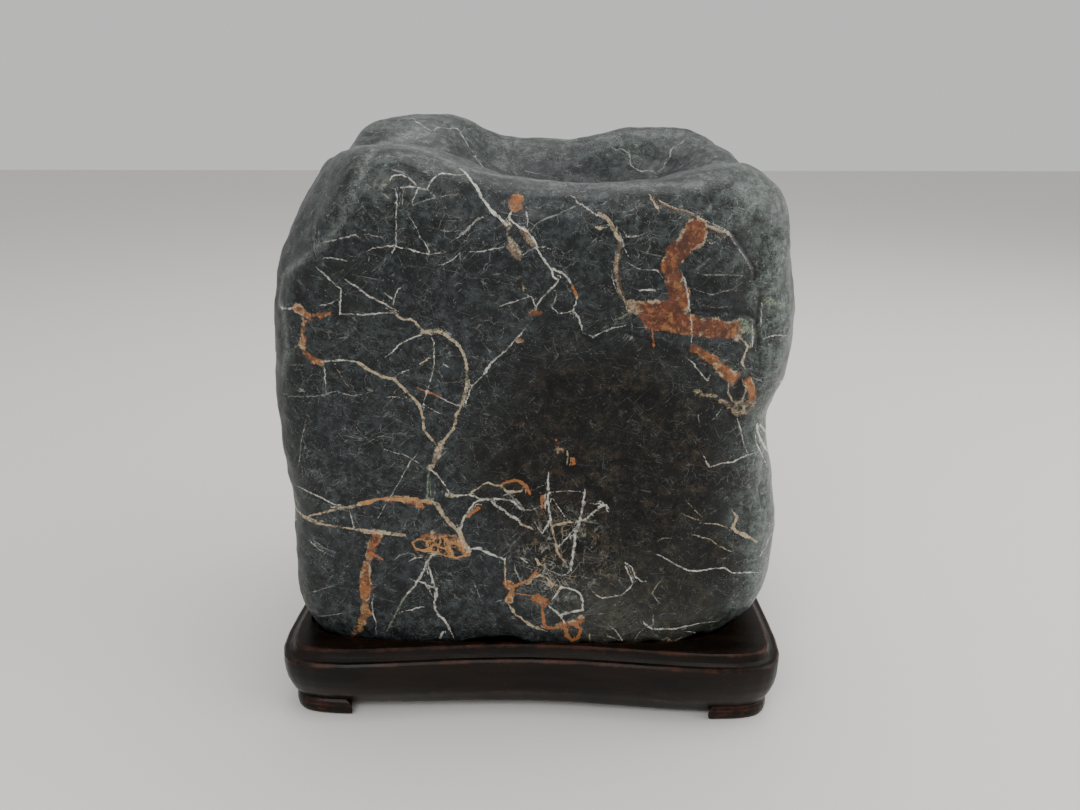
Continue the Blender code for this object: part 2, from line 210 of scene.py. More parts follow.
LOW_LEFT_VEINS = [
    ("faint", 1.3, [(307, 416), (304, 430), (301, 442), (300, 456), (297, 470)]),
    ("white", 2, [(297, 486), (305, 490), (315, 495), (326, 500), (334, 505), (341, 505)]),
    ("cream", [2, 2, 3, 4, 4, 5], [(309, 516), (322, 513), (334, 510), (343, 508), (352, 507), (360, 504)]),
    ("amber", [4, 5, 4, 4, 5, 5], [(360, 504), (369, 502), (378, 499), (397, 499), (416, 500), (431, 503)]),
    ("rust", 6, [(386, 500), (397, 498), (408, 500)]),
    ("rust", 7, [(412, 501), (424, 508)]),
    ("cream", 5, [(420, 501), (429, 500), (437, 504), (439, 509), (443, 515), (449, 522), (455, 528)]),
    ("cream", 5, [(455, 528), (459, 531), (461, 537), (465, 544), (469, 552)]),
    ("cream", [2, 3, 4, 5, 5, 3, 2, 2, 5, 5, 4],
     [(294, 504), (297, 510), (302, 515), (308, 519), (317, 523), (326, 525), (338, 527), (354, 529),
      (364, 531), (386, 533), (404, 535)]),
    ("white", 1.2, [(348, 508), (352, 518), (354, 529)]),
    ("white", 1.2, [(307, 536), (311, 542), (320, 550), (334, 557)]),
    ("faint", 1.2, [(314, 541), (327, 549)]),
    ("faint", 1.2, [(317, 563), (323, 567), (328, 573)]),
    ("white", 1.1, [(420, 450), (411, 461), (404, 473), (398, 484), (392, 494), (386, 504), (371, 529)]),
    ("white", 1.2, [(380, 448), (390, 451), (404, 455), (412, 459), (425, 467)]),
    ("faint", 1.2, [(364, 445), (376, 438), (388, 434)]),
    ("dark rust", [12, 8, 7, 8], [(376, 535), (372, 544), (370, 555), (367, 565)]),
    ("rust", [8, 11, 14, 11, 8], [(367, 565), (365, 574), (366, 582), (365, 593), (364, 601)]),
    ("amber", [7, 9, 8, 6, 4], [(364, 601), (365, 612), (362, 622), (356, 631), (351, 639)]),
    ("rust", [5, 2], [(371, 553), (383, 560)]),
    ("white", 1.4, [(374, 594), (372, 603), (373, 614), (376, 622), (376, 636)]),
    ("faint", 1.2, [(303, 595), (323, 589), (342, 582)]),
    ("faint", 1.4, [(310, 617), (331, 615), (352, 612)]),
    ("white", 2.5, [(409, 561), (414, 558), (424, 557)]),
    ("faint", 1.4, [(393, 561), (400, 555), (409, 553), (414, 554)]),
    ("rust", [5, 8, 6], [(424, 537), (432, 535), (440, 538)]),
    ("amber", 2.8, [(412, 542), (419, 539), (427, 541), (429, 548), (422, 551), (415, 548), (412, 542)]),
    ("amber", 3.2, [(422, 551), (430, 551), (437, 553), (446, 556), (456, 558), (466, 555)]),
    ("amber", 3.0, [(428, 541), (434, 543), (439, 547), (446, 549), (450, 556)]),
    ("amber", 2.8, [(440, 537), (440, 543), (438, 548), (437, 553)]),
    ("amber", 3.2, [(433, 536), (434, 543), (430, 549)]),
    ("amber", [6, 9, 10, 10, 8], [(442, 537), (449, 538), (457, 541), (463, 547), (467, 552)]),
    ("amber", 4.0, [(446, 540), (449, 547), (453, 556)]),
    ("amber", 3.4, [(449, 543), (456, 544), (461, 546)]),
    ("white", 2.8, [(438, 553), (431, 556), (427, 562), (430, 570), (432, 579), (436, 589), (437, 595)]),
    ("white", 2.8, [(437, 595), (434, 603), (435, 610), (439, 616), (444, 619), (448, 626), (454, 638)]),
    ("white", 3, [(427, 562), (424, 570), (419, 579), (415, 586), (407, 594)]),
    ("moss", 3, [(407, 594), (402, 601), (398, 610), (393, 619), (386, 633)]),
    ("white", 1.4, [(395, 615), (404, 611), (411, 610), (419, 607), (427, 607)]),
    ("white", 1.6, [(409, 578), (416, 581), (425, 583), (431, 587), (437, 588)]),
    ("white", 1.6, [(424, 583), (429, 589), (432, 596)]),
    ("white", 2.5, [(440, 638), (443, 632)]),
    ("moss", 2, [(429, 468), (428, 477), (428, 484), (427, 499)]),
    ("faint", 1.2, [(435, 485), (434, 496)]),
    ("white", 2, [(429, 469), (436, 474), (442, 481), (446, 487), (449, 493), (455, 496), (464, 495)]),
    ("white", 2, [(464, 495), (471, 495), (478, 498)]),
    ("cream", 5, [(447, 495), (457, 496)]),
]
LOW_MIDDLE_VEINS = [
    ("white", 3, [(460, 529), (462, 522), (465, 516), (470, 509), (474, 503), (480, 500), (493, 499)]),
    ("white", 3, [(493, 499), (502, 499), (508, 500), (514, 502), (518, 507), (521, 509)]),
    ("rust", 5, [(468, 516), (478, 508)]),
    ("cream", 2.5, [(471, 492), (479, 488), (484, 484), (488, 482), (493, 485), (502, 486)]),
    ("rust", 3.5, [(502, 484), (508, 482), (514, 480), (521, 482), (526, 485), (529, 491), (531, 496)]),
    ("cream", 2.5, [(503, 487), (506, 491), (514, 492), (521, 491), (523, 487)]),
    ("white", 3, [(492, 500), (496, 506), (504, 510), (509, 515), (515, 518), (520, 521)]),
    ("faint", 3, [(508, 493), (514, 499), (520, 504), (524, 510)]),
    ("faint", 1.6, [(523, 510), (531, 510), (537, 508), (542, 504)]),
    ("faint", 1.2, [(536, 489), (543, 485)]),
    ("rust", 4, [(542, 496), (542, 507)]),
    ("white", 2.8, [(549, 471), (548, 482), (548, 491), (548, 502), (549, 510), (551, 522)]),
    ("cream", 3, [(551, 522), (553, 532), (556, 543), (557, 551), (561, 557), (567, 565)]),
    ("white", 1.1, [(553, 499), (565, 517)]),
    ("white", 1.1, [(548, 492), (569, 491), (584, 492)]),
    ("white", 3, [(585, 487), (584, 496), (583, 506), (581, 516), (578, 526), (575, 535), (575, 543)]),
    ("white", 3, [(575, 543), (573, 551), (572, 562), (571, 570)]),
    ("moss", 6, [(579, 526), (584, 533)]),
    ("white", 1.6, [(578, 525), (570, 534), (564, 541), (561, 546)]),
    ("cream", 3.5, [(553, 525), (561, 524), (568, 522), (574, 522)]),
    ("white", 2.5, [(581, 521), (587, 518), (594, 512), (600, 507), (606, 505), (609, 509)]),
    ("moss", 3, [(586, 522), (592, 522), (597, 520)]),
    ("white", 1.2, [(589, 503), (596, 504), (603, 504)]),
    ("white", 1.2, [(597, 499), (603, 503), (608, 512)]),
    ("umber", 6, [(555, 441), (558, 447), (563, 451)]),
    ("cream", 2, [(567, 451), (568, 456), (567, 466)]),
    ("rust", 5, [(573, 459), (574, 463)]),
    ("umber", 6, [(554, 471), (560, 474)]),
    ("white", 3.2, [(470, 549), (479, 548), (484, 551), (490, 554), (498, 557), (505, 559)]),
    ("cream", 2, [(505, 560), (505, 569), (505, 578), (506, 585)]),
    ("rust", 7, [(508, 584), (512, 590), (509, 600)]),
    ("rust", 4, [(514, 587), (521, 583), (528, 581), (534, 575), (537, 569)]),
    ("cream", 3, [(528, 584), (533, 578), (540, 575), (546, 577), (549, 581), (553, 584)]),
    ("cream", 6, [(548, 584), (555, 586)]),
    ("rust", 3, [(515, 593), (526, 595), (534, 596)]),
    ("rust", 10, [(537, 599), (544, 602)]),
    ("cream", 3, [(508, 604), (512, 609), (515, 614), (521, 618), (527, 623), (534, 627), (547, 631)]),
    ("rust", 4, [(542, 606), (543, 616), (544, 625), (549, 628), (556, 628)]),
    ("white", 3, [(548, 606), (555, 610), (561, 616), (564, 622)]),
    ("white", 2.5, [(552, 601), (556, 595), (559, 590), (561, 587), (567, 588), (577, 591), (581, 595)]),
    ("white", 2.5, [(581, 595), (583, 603), (583, 610)]),
    ("white", 3, [(563, 614), (572, 612), (583, 610)]),
    ("rust", 7, [(558, 626), (567, 623), (575, 622), (581, 618)]),
    ("rust", 5, [(565, 628), (567, 636), (572, 641), (578, 638), (581, 629), (575, 625)]),
    ("cream", 2, [(589, 634), (591, 645)]),
    ("faint", 2, [(514, 562), (515, 569), (520, 581)]),
    ("white", 1.5, [(520, 557), (528, 563)]),
    ("cream", 3, [(521, 524), (528, 527), (534, 530)]),
    ("umber", 4, [(535, 540), (537, 543)]),
    ("cream", 5, [(537, 560), (539, 563)]),
    ("white", 2, [(534, 522), (542, 534), (549, 522)]),
    ("moss", 2, [(520, 537), (514, 543), (508, 551)]),
    ("white", 1.5, [(545, 568), (553, 572), (562, 576), (570, 572)]),
    ("faint", 1.2, [(470, 576), (476, 587), (482, 604)]),
    ("faint", 1.6, [(496, 602), (502, 600)]),
]
UPPER_RIGHT_VEINS = [
    ("cream", 5, [(600, 214), (607, 218), (610, 222), (613, 227), (615, 233), (620, 240)]),
    ("cream", 3.5, [(595, 227), (600, 228), (607, 227)]),
    ("cream", [4.5, 5.5, 6.5, 7, 6, 5, 4.5, 4],
     [(618, 238), (620, 247), (618, 256), (616, 265), (616, 276), (618, 287), (623, 299), (630, 311)]),
    ("umber", 2.4, [(619, 244), (620, 254), (618, 264), (619, 275), (621, 287), (626, 300)]),
    ("white", 1.6, [(622, 240), (625, 249), (629, 258)]),
    ("white", 1.2, [(612, 252), (611, 264), (612, 276), (616, 290)]),
    ("white", 1.6, [(621, 228), (627, 237), (638, 236), (648, 232)]),
    ("white", 1.4, [(628, 263), (638, 269), (650, 270), (658, 270), (665, 282)]),
    ("white", 2.5, [(640, 290), (655, 290)]),
    ("cream", 3, [(649, 194), (653, 201), (657, 207), (660, 212)]),
    ("umber", 3.5, [(654, 196), (660, 203), (667, 207), (675, 211), (684, 211), (689, 214), (696, 218)]),
    ("cream", 1.6, [(660, 201), (668, 205), (677, 209), (688, 211), (697, 216), (704, 221)]),
    ("white", 1.2, [(700, 218), (712, 224), (724, 229), (734, 236)]),
    ("faint", 1.6, [(686, 270), (705, 275), (733, 275), (749, 276)]),
    ("faint", 1.6, [(694, 289), (711, 295), (733, 289), (744, 281)]),
    ("faint", 1.6, [(697, 304), (716, 308), (733, 306)]),
    ("dark rust", [17, 24, 22, 20, 19, 16, 19, 22],
     [(698, 225), (695, 236), (684, 246), (674, 258), (670, 267), (674, 277), (678, 291), (678, 302)]),
    ("cream", [3.5, 3.5, 3, 2], [(705, 225), (717, 229), (724, 232), (731, 236)]),
    ("umber", 3, [(708, 229), (716, 233), (724, 237)]),
    ("faint", 1.5, [(731, 238), (738, 248), (745, 258), (750, 267), (754, 276)]),
    ("white", 1.2, [(707, 239), (710, 244), (717, 241)]),
    ("white", 2, [(681, 270), (685, 281), (688, 295), (689, 307), (691, 319), (692, 335), (691, 345)]),
    ("dark rust", [13, 31, 28, 22, 20, 21, 18, 16],
     [(639, 307), (655, 315), (672, 316), (686, 324), (698, 326), (710, 329), (724, 329), (734, 328)]),
    ("moss", [9, 12, 10], [(741, 322), (748, 328), (755, 332)]),
    ("cream", [5, 9, 8], [(736, 319), (742, 328), (738, 338)]),
    ("cream", [7, 11, 12], [(629, 303), (637, 309), (645, 314)]),
    ("rust", [4, 3, 2], [(652, 330), (654, 344), (652, 350)]),
    ("cream", 3, [(738, 336), (745, 342), (748, 347), (745, 354), (742, 362), (745, 369)]),
    ("white", 2, [(752, 319), (753, 336), (752, 347)]),
    ("rust", [8, 9, 10, 12, 14, 12, 6],
     [(694, 349), (703, 354), (712, 361), (720, 368), (729, 375), (734, 379), (738, 376)]),
    ("white", 2, [(688, 359), (694, 364), (701, 374), (707, 381), (711, 375)]),
    ("cream", 2.5, [(729, 380), (728, 392), (733, 402), (742, 401), (746, 390), (742, 379)]),
    ("rust", 8, [(748, 381), (752, 391), (753, 399)]),
    ("cream", [3, 6, 6, 5, 7, 6], [(687, 392), (698, 393), (710, 395), (719, 399), (727, 404), (734, 411)]),
    ("cream", [6, 7, 5], [(734, 411), (742, 413), (752, 409)]),
    ("cream", [5, 7, 6], [(737, 404), (745, 406), (753, 401)]),
    ("white", 1.2, [(722, 407), (715, 418), (708, 423)]),
    ("white", 1.6, [(762, 302), (761, 326)]),
    ("moss", 6, [(760, 297), (771, 303), (783, 307), (793, 307)]),
    ("white", 2, [(764, 338), (776, 335), (786, 336)]),
    ("white", 2, [(580, 323), (583, 333), (593, 337), (602, 332), (613, 328), (627, 325)]),
    ("moss", 3, [(615, 320), (623, 317), (630, 312)]),
    ("faint", 1.5, [(632, 317), (632, 337), (623, 347)]),
]
LOW_RIGHT_VEINS = [
    ("faint", 1.2, [(698, 415), (700, 427)]),
    ("white", 2, [(737, 418), (741, 430), (743, 442), (747, 452)]),
    ("white", 1.8, [(702, 453), (707, 463), (710, 467), (723, 463), (733, 462), (742, 457), (757, 452)]),
    ("bright", 4.5, [(757, 425), (758, 433), (762, 442), (767, 450), (772, 457), (774, 462)]),
    ("bright", 3, [(760, 425), (767, 433), (770, 447)]),
    ("bright", 2, [(755, 430), (756, 442), (762, 455), (768, 468)]),
    ("cream", 4, [(732, 510), (737, 517), (733, 527), (737, 532), (745, 535), (757, 542)]),
    ("cream", 1.4, [(680, 513), (690, 517), (698, 520)]),
    ("cream", 1.4, [(685, 500), (693, 508), (702, 517)]),
    ("cream", 1.4, [(700, 523), (717, 524), (727, 528), (732, 532)]),
    ("cream", 1.4, [(687, 533), (700, 537), (710, 539), (717, 545), (727, 550), (733, 552)]),
    ("umber", 2, [(623, 547), (633, 549), (657, 554)]),
    ("white", 1.8, [(657, 554), (670, 561), (680, 567), (690, 571), (700, 571), (715, 568), (725, 568)]),
    ("white", 1.8, [(725, 568), (732, 573), (742, 573), (763, 572)]),
    ("white", 1.5, [(625, 562), (632, 568), (636, 577), (642, 582), (648, 581)]),
    ("white", 1.6, [(590, 588), (596, 595), (602, 598), (611, 597), (622, 595), (628, 590), (633, 584)]),
    ("white", 1.6, [(633, 584), (631, 578), (625, 565)]),
    ("faint", 1.5, [(664, 577), (657, 585), (652, 593), (658, 602), (662, 604)]),
    ("white", 2.5, [(642, 620), (646, 625), (652, 629), (667, 629), (675, 629), (683, 627), (693, 625)]),
    ("white", 2, [(693, 625), (702, 623), (710, 622), (720, 621)]),
    ("white", 1.6, [(682, 631), (693, 632), (703, 637)]),
    ("cream", 4, [(662, 640), (667, 638), (672, 643), (682, 637)]),
    ("white", 1.5, [(610, 626), (617, 632), (622, 640)]),
    ("white", 1.5, [(608, 636), (622, 641)]),
    ("faint", 1.5, [(635, 639), (640, 632)]),
    ("faint", 1.5, [(653, 615), (653, 624)]),
    ("faint", 1.5, [(657, 542), (663, 538), (672, 538)]),
]
FRONT_VEINS = (
    LUMP_VEINS + MIDDLE_VEINS + LEFT_VEINS + LOW_LEFT_VEINS
    + LOW_MIDDLE_VEINS + UPPER_RIGHT_VEINS + LOW_RIGHT_VEINS
)

# Veins on the sides that the photograph doesn't show: side, kind, width in mm and route in mm
UNSEEN_VEINS = [
    ("left", "white", 0.9, [(-48, 133), (-36, 131), (-22, 137), (-6, 134), (14, 141), (30, 139)]),
    ("left", "cream", 1.3, [(-46, 72), (-34, 66), (-20, 69), (-8, 60), (10, 57), (28, 49)]),
    ("left", "rust", [2.5, 5, 4, 2], [(-6, 134), (-3, 124), (1, 114), (-2, 104)]),
    ("left", "white", 0.6, [(-8, 60), (-4, 74), (4, 86), (2, 104)]),
    ("left", "white", 0.5, [(30, 139), (36, 150), (34, 166)]),
    ("left", "faint", 0.8, [(-30, 160), (-12, 156), (8, 163), (28, 158)]),
    ("left", "white", 0.5, [(10, 57), (14, 44), (8, 32)]),
    ("right", "white", 0.7, [(-46, 60), (-30, 64), (-14, 58), (6, 66), (26, 62)]),
    ("right", "cream", 1.4, [(-44, 124), (-28, 118), (-14, 121), (2, 112), (20, 114), (34, 106)]),
    ("right", "rust", [3, 6, 5, 2], [(2, 112), (6, 102), (4, 92), (9, 82)]),
    ("right", "white", 0.6, [(9, 82), (6, 66), (10, 48), (4, 34)]),
    ("right", "white", 0.5, [(-14, 121), (-18, 136), (-10, 150), (-14, 164)]),
    ("right", "faint", 0.8, [(-34, 148), (-10, 150), (14, 144), (34, 150)]),
    ("back", "white", 1.0, [(-60, 150), (-44, 142), (-30, 144), (-12, 132), (4, 134), (22, 124)]),
    ("back", "cream", 1.6, [(22, 124), (34, 112), (32, 98), (42, 84), (40, 66), (50, 52)]),
    ("back", "rust", [3, 6, 8, 6, 3], [(-30, 144), (-33, 132), (-30, 120), (-36, 108), (-34, 98)]),
    ("back", "white", 0.7, [(-34, 98), (-26, 84), (-30, 68), (-20, 52), (-22, 36)]),
    ("back", "white", 0.5, [(-26, 84), (-8, 80), (12, 86), (32, 98)]),
    ("back", "faint", 0.8, [(-64, 92), (-50, 96), (-36, 108)]),
    ("back", "white", 0.5, [(-20, 52), (-2, 56), (18, 50), (40, 66)]),
    ("back", "white", 0.5, [(4, 134), (8, 150), (2, 166)]),
    ("back", "rust", [2, 4, 3], [(40, 66), (34, 60), (30, 52)]),
    ("back", "white", 0.6, [(-62, 60), (-46, 66), (-34, 56), (-20, 52)]),
    ("back", "faint", 0.5, [(-52, 172), (-30, 166), (-8, 172), (16, 164)]),
    ("back", "white", 0.5, [(32, 98), (48, 102), (62, 96)]),
    ("back", "faint", 0.6, [(30, 150), (44, 140), (50, 126), (64, 120)]),
    ("back", "cream", 0.8, [(-44, 142), (-50, 128), (-46, 116), (-36, 108)]),
    ("back", "white", 0.5, [(-66, 118), (-58, 112), (-50, 128)]),
    ("left", "cream", 0.8, [(1, 114), (14, 108), (24, 112), (38, 104)]),
    ("left", "white", 0.5, [(-34, 66), (-40, 54), (-36, 42)]),
    ("right", "white", 0.5, [(20, 114), (28, 98), (24, 84), (32, 72)]),
    ("right", "faint", 0.6, [(-40, 96), (-26, 90), (-10, 96), (4, 92)]),
    ("top", "white", 0.5, [(-52, 22), (-38, 14), (-30, 20), (-16, 12)]),
    ("top", "faint", 0.7, [(30, 30), (44, 18), (58, 22)]),
]

# Where each unseen side is looked at from, in mm: a start, and the two axes of its routes
SIDE_VIEWS = {
    "left": ((-200, 0, 0), (0, 1, 0), (0, 0, 1)),
    "right": ((200, 0, 0), (0, 1, 0), (0, 0, 1)),
    "back": ((0, 200, 0), (1, 0, 0), (0, 0, 1)),
    "top": ((0, 0, 300), (1, 0, 0), (0, 1, 0)),
}

# Creases and cracks cut into the stone and darkened with painted shade: width in pixels, depth in mm and route in
# pixels
CREASES = [
    (6, 0.9, [(689, 315), (697, 311), (715, 310), (730, 312), (745, 313), (754, 317)]),
    (6, 0.50, [(732, 232), (745, 251), (755, 268), (754, 281), (761, 293), (757, 326), (761, 361)]),
    (5, 0.8, [(689, 397), (700, 398), (712, 399), (722, 404), (733, 415), (750, 416)]),
    (5, 0.7, [(745, 179), (757, 183)]),
    (4, 0.5, [(734, 220), (741, 222)]),
    (6, 0.8, [(761, 488), (762, 503)]),
    (5, 0.5, [(750, 520), (747, 527)]),
    (5, 0.45, [(497, 360), (510, 354), (523, 351), (535, 350), (546, 357), (553, 368)]),
    (3, 0.25, [(320, 255), (360, 259), (405, 256), (450, 258)]),
    (3, 0.25, [(320, 275), (365, 279), (410, 274), (450, 277)]),
    (3, 0.3, [(650, 181), (676, 174), (703, 165), (745, 163)]),
    (4, 0.35, [(600, 335), (625, 330), (640, 322)]),
    (8, 0.6, [(739, 380), (737, 392), (739, 400)]),
    (4, 0.3, [(740, 424), (744, 436), (750, 448)]),
    (4, 0.3, [(683, 311), (686, 313)]),
    (3, 0.2, [(449, 538), (454, 552)]),
    (5, 0.3, [(571, 633), (573, 637)]),
    (4, 0.3, [(368, 578), (367, 590)]),
    (3, 0.25, [(304, 322), (302, 338), (304, 350)]),
    (4, 0.30, [(686, 273), (705, 278), (733, 278), (749, 279)]),
    (4, 0.30, [(694, 292), (711, 298), (733, 292), (744, 284)]),
    (4, 0.30, [(700, 245), (690, 258), (684, 270), (690, 290), (693, 306)]),
    (6, 0.45, [(560, 328), (580, 331), (590, 341), (604, 339), (628, 333), (652, 342), (690, 356)]),
    (16, 0.40, [(504, 368), (520, 362), (538, 364), (550, 378), (554, 396)]),
    (10, 0.50, [(292, 282), (300, 290), (298, 300)]),
    (8, 0.35, [(700, 412), (722, 428), (740, 440)]),
    (4, 0.30, [(480, 280), (520, 300), (560, 318)]),
    (5, 0.25, [(430, 214), (470, 206), (500, 222)]),
    (5, 0.25, [(395, 268), (430, 276), (470, 268)]),
    (4, 0.45, [(447, 538), (452, 539)]),
    (4, 0.45, [(455, 550), (456, 554)]),
    (4, 0.45, [(429, 543), (433, 544)]),
    (3, 0.40, [(436, 548), (439, 549)]),
    (4, 0.40, [(420, 543), (423, 544)]),
]

# Painted highlights along the edges and the rim crest: width in pixels and route in pixels
EDGE_HIGHLIGHTS = [
    (7, [(375, 147), (362, 172), (352, 196), (340, 225), (322, 243), (300, 262), (287, 270)]),
    (6, [(283, 275), (279, 303), (283, 310), (287, 350), (283, 375)]),
    (9, [(355, 147), (385, 144), (410, 146), (436, 154), (460, 168), (500, 176), (560, 183), (630, 185)]),
    (8, [(630, 185), (700, 184)]),
    (22, [(397, 140), (418, 130)]),
]


class Signal:
    """A number or colour that varies over a surface, with arithmetic that adds nodes."""

    def __init__(self, finish, socket):
        self.finish = finish
        self.socket = socket

    def __add__(self, other):
        return self.finish.maths("ADD", self, other)

    def __radd__(self, other):
        return self.finish.maths("ADD", other, self)

    def __sub__(self, other):
        return self.finish.maths("SUBTRACT", self, other)

    def __rsub__(self, other):
        return self.finish.maths("SUBTRACT", other, self)

    def __mul__(self, other):
        return self.finish.maths("MULTIPLY", self, other)

    def __rmul__(self, other):
        return self.finish.maths("MULTIPLY", other, self)


class Finish:
    """A procedural material, and the short ways to add nodes to it."""

    def __init__(self, name):
        self.material = bpy.data.materials.new(name)
        self.material.use_nodes = True
        self.tree = self.material.node_tree
        self.shader = self.tree.nodes["Principled BSDF"]
        metres = self.node("ShaderNodeTexCoord", {}, {}, "Object")
        self.place = self.node(
            "ShaderNodeVectorMath", {"operation": "SCALE"}, {0: metres, "Scale": 1 / MM}
        )

    def feed(self, socket, value):
        if isinstance(value, Signal):
            self.tree.links.new(value.socket, socket)
        elif isinstance(value, tuple) and len(socket.default_value) == 4:
            socket.default_value = (*value, 1)
        else:
            socket.default_value = value

    def set(self, **sockets):
        """Sets or links the shader's own sockets, with _ for a space in a name."""
        for name, value in sockets.items():
            self.feed(self.shader.inputs[name.replace("_", " ")], value)

    def node(self, kind, settings, sockets, output=0):
        made = self.tree.nodes.new(kind)
        for name, value in settings.items():
            setattr(made, name, value)
        for key, value in sockets.items():
            self.feed(made.inputs[key], value)
        return Signal(self, made.outputs[output])

    def maths(self, operation, *values):
        return self.node("ShaderNodeMath", {"operation": operation}, dict(enumerate(values)))

    def step(self, value, low, high):
        """0 below low, 1 above high and a smooth rise between them."""
        return self.node(
            "ShaderNodeMapRange",
            {"interpolation_type": "SMOOTHSTEP"},
            {"Value": value, "From Min": low, "From Max": high},
        )

    def mix(self, share, first, second):
        return self.node(
            "ShaderNodeMix", {"data_type": "RGBA"}, {0: share, 6: first, 7: second}, 2
        )

    def vectors(self, operation, first, second, output=0):
        return self.node(
            "ShaderNodeVectorMath", {"operation": operation}, {0: first, 1: second}, output
        )

    def turned(self, turn, stretch, offset=(0, 0, 0)):
        """The place on the piece in mm, turned, stretched and moved."""
        angles = tuple(math.radians(angle) for angle in turn)
        turned_place = self.node(
            "ShaderNodeMapping", {}, {"Vector": self.place, "Rotation": angles, "Location": offset}
        )
        return self.vectors("MULTIPLY", turned_place, stretch)

    def grain(self, size, detail=2, place=None, output="Fac", rough=0.5):
        """Soft noise whose lumps are about that many mm across."""
        sockets = {"Scale": 1 / size, "Detail": detail, "Roughness": rough}
        sockets["Vector"] = place or self.place
        return self.node("ShaderNodeTexNoise", {}, sockets, output)

    def cells(self, size, place=None, feature="DISTANCE_TO_EDGE"):
        """Distance in a net of cells that are about that many mm across."""
        sockets = {"Vector": place or self.place, "Scale": 1 / size}
        return self.node("ShaderNodeTexVoronoi", {"feature": feature}, sockets, "Distance")

    def near(self, centre, reach, soft):
        """1 inside a ball round a point in mm, falling to 0 over its soft edge."""
        distance = self.vectors("DISTANCE", self.place, centre, "Value")
        ragged = distance + (self.grain(9, 4) - 0.5) * (soft * 1.6)
        return 1 - self.step(ragged, reach - soft, reach + soft)

    def attribute(self, name, output="Fac"):
        return self.node("ShaderNodeAttribute", {"attribute_name": name}, {}, output)

    def bump(self, height, depth, under=None):
        sockets = {"Height": height, "Distance": depth * MM, "Strength": 1.0}
        if under:
            sockets["Normal"] = under
        return self.node("ShaderNodeBump", {}, sockets)


def select_only(piece):
    bpy.ops.object.select_all(action="DESELECT")
    piece.select_set(True)
    bpy.context.view_layer.objects.active = piece


def copy_of(node, name):
    """A merged copy of a solid, as quads, at the same place."""
    piece = bpy.data.objects.new(name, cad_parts[node].data.copy())
    bpy.context.scene.collection.objects.link(piece)
    select_only(piece)
    bpy.ops.object.mode_set(mode="EDIT")
    bpy.ops.mesh.select_all(action="SELECT")
    bpy.ops.mesh.remove_doubles(threshold=0.01 * MM)
    bpy.ops.mesh.tris_convert_to_quads(
        face_threshold=math.radians(60), shape_threshold=math.radians(80)
    )
    bpy.ops.object.mode_set(mode="OBJECT")
    return piece


def read_vertices(piece, what):
    flat = np.zeros(len(piece.data.vertices) * 3)
    piece.data.vertices.foreach_get(what, flat)
    return flat.reshape(-1, 3)


def surface_of(piece):
    corners = [v.co for v in piece.data.vertices]
    return BVHTree.FromPolygons(corners, [tuple(p.vertices) for p in piece.data.polygons])


def photo_ray(x, y):
    """The direction from the camera through a pixel of the photograph."""
    seen = Vector(((x - PHOTO_WIDTH / 2) / LENS_PIXELS, (PHOTO_HEIGHT / 2 - y) / LENS_PIXELS, -1))
    seen.rotate(CAMERA_TURN)
    return seen.normalized()


def cast_from_photo(surface, x, y):
    """The place that a pixel shows, in mm, and the size there of one pixel, in mm."""
    hit, _, _, distance = surface.ray_cast(CAMERA_PLACE, photo_ray(x, y))
    if hit is None:
        return None, 0
    return hit / MM, distance / MM / LENS_PIXELS


def cast_from_side(surface, side, across, up):
    """The place on an unseen side at a route's point, in mm, with the route made crooked."""
    start, first_axis, second_axis = (Vector(v) for v in SIDE_VIEWS[side])
    spot = Vector((across, up, start.x + start.y))
    stray = noise.noise_vector(spot / 9) * 4.5 + noise.noise_vector(spot / 3) * 1.6
    origin = start + first_axis * (across + stray.x) + second_axis * (up + stray.y)
    hit, _, _, _ = surface.ray_cast(origin * MM, -start.normalized())
    if hit is None:
        return None, 0
    return hit / MM, 1


def walk(route, width, spacing, cast):
    """Places at even steps along a route that lie on the stone, with the width at each."""
    widths = width if isinstance(width, list) else [width] * len(route)
    found = []
    for (x0, y0), (x1, y1), w0, w1 in zip(route, route[1:], widths, widths[1:]):
        steps = max(1, math.ceil(math.hypot(x1 - x0, y1 - y0) / spacing))
        for i in range(steps + 1):
            share = i / steps
            place, unit = cast(x0 + (x1 - x0) * share, y0 + (y1 - y0) * share)
            if place is not None:
                found.append((place, (w0 + (w1 - w0) * share) * unit))
    return found


def with_free_ends(rows):
    """The traced veins with the width at each point, thinned to a tip where no other vein meets."""
    tapered = []
    for i, (kind, width, route) in enumerate(rows):
        widths = list(width) if isinstance(width, list) else [width] * len(route)
        others = [point for j, (_, _, other) in enumerate(rows) if j != i for point in other]
        for end in (0, -1):
            alone = all(math.dist(route[end], point) > MEETING_DISTANCE for point in others)
            if alone and len(route) > 2 and max(widths) < WIDEST_TIPPED:
                widths[end] *= TIP_SHARE
        tapered.append((kind, widths, route))
    return tapered


def lay_veins(surface):
    """Every vein as places on the stone, parted into fine lines and broad bands."""
    routes = [(kind, width, route, None) for kind, width, route in with_free_ends(FRONT_VEINS)]
    routes += [(kind, width, route, side) for side, kind, width, route in UNSEEN_VEINS]
    fine = []
    broad = []
    for kind, width, route, side in routes:
        if side:
            cast = lambda u, v, side=side: cast_from_side(surface, side, u, v)
            unit = 1
        else:
            cast = lambda x, y: cast_from_photo(surface, x, y)
            unit = 0.3
        widest = max(width) if isinstance(width, list) else width
        is_broad = widest * unit / 2 > FINE_HALF_WIDTH
        spacing = (BAND_SPACING if is_broad else FINE_SPACING) / unit
        for place, across in walk(route, width, spacing, cast):
            (broad if is_broad else fine).append((place, across / 2, kind))
    return fine, broad


def tree_of(places):
    tree = kdtree.KDTree(len(places))
    for i, place in enumerate(places):
        tree.insert(place, i)
    tree.balance()
    return tree


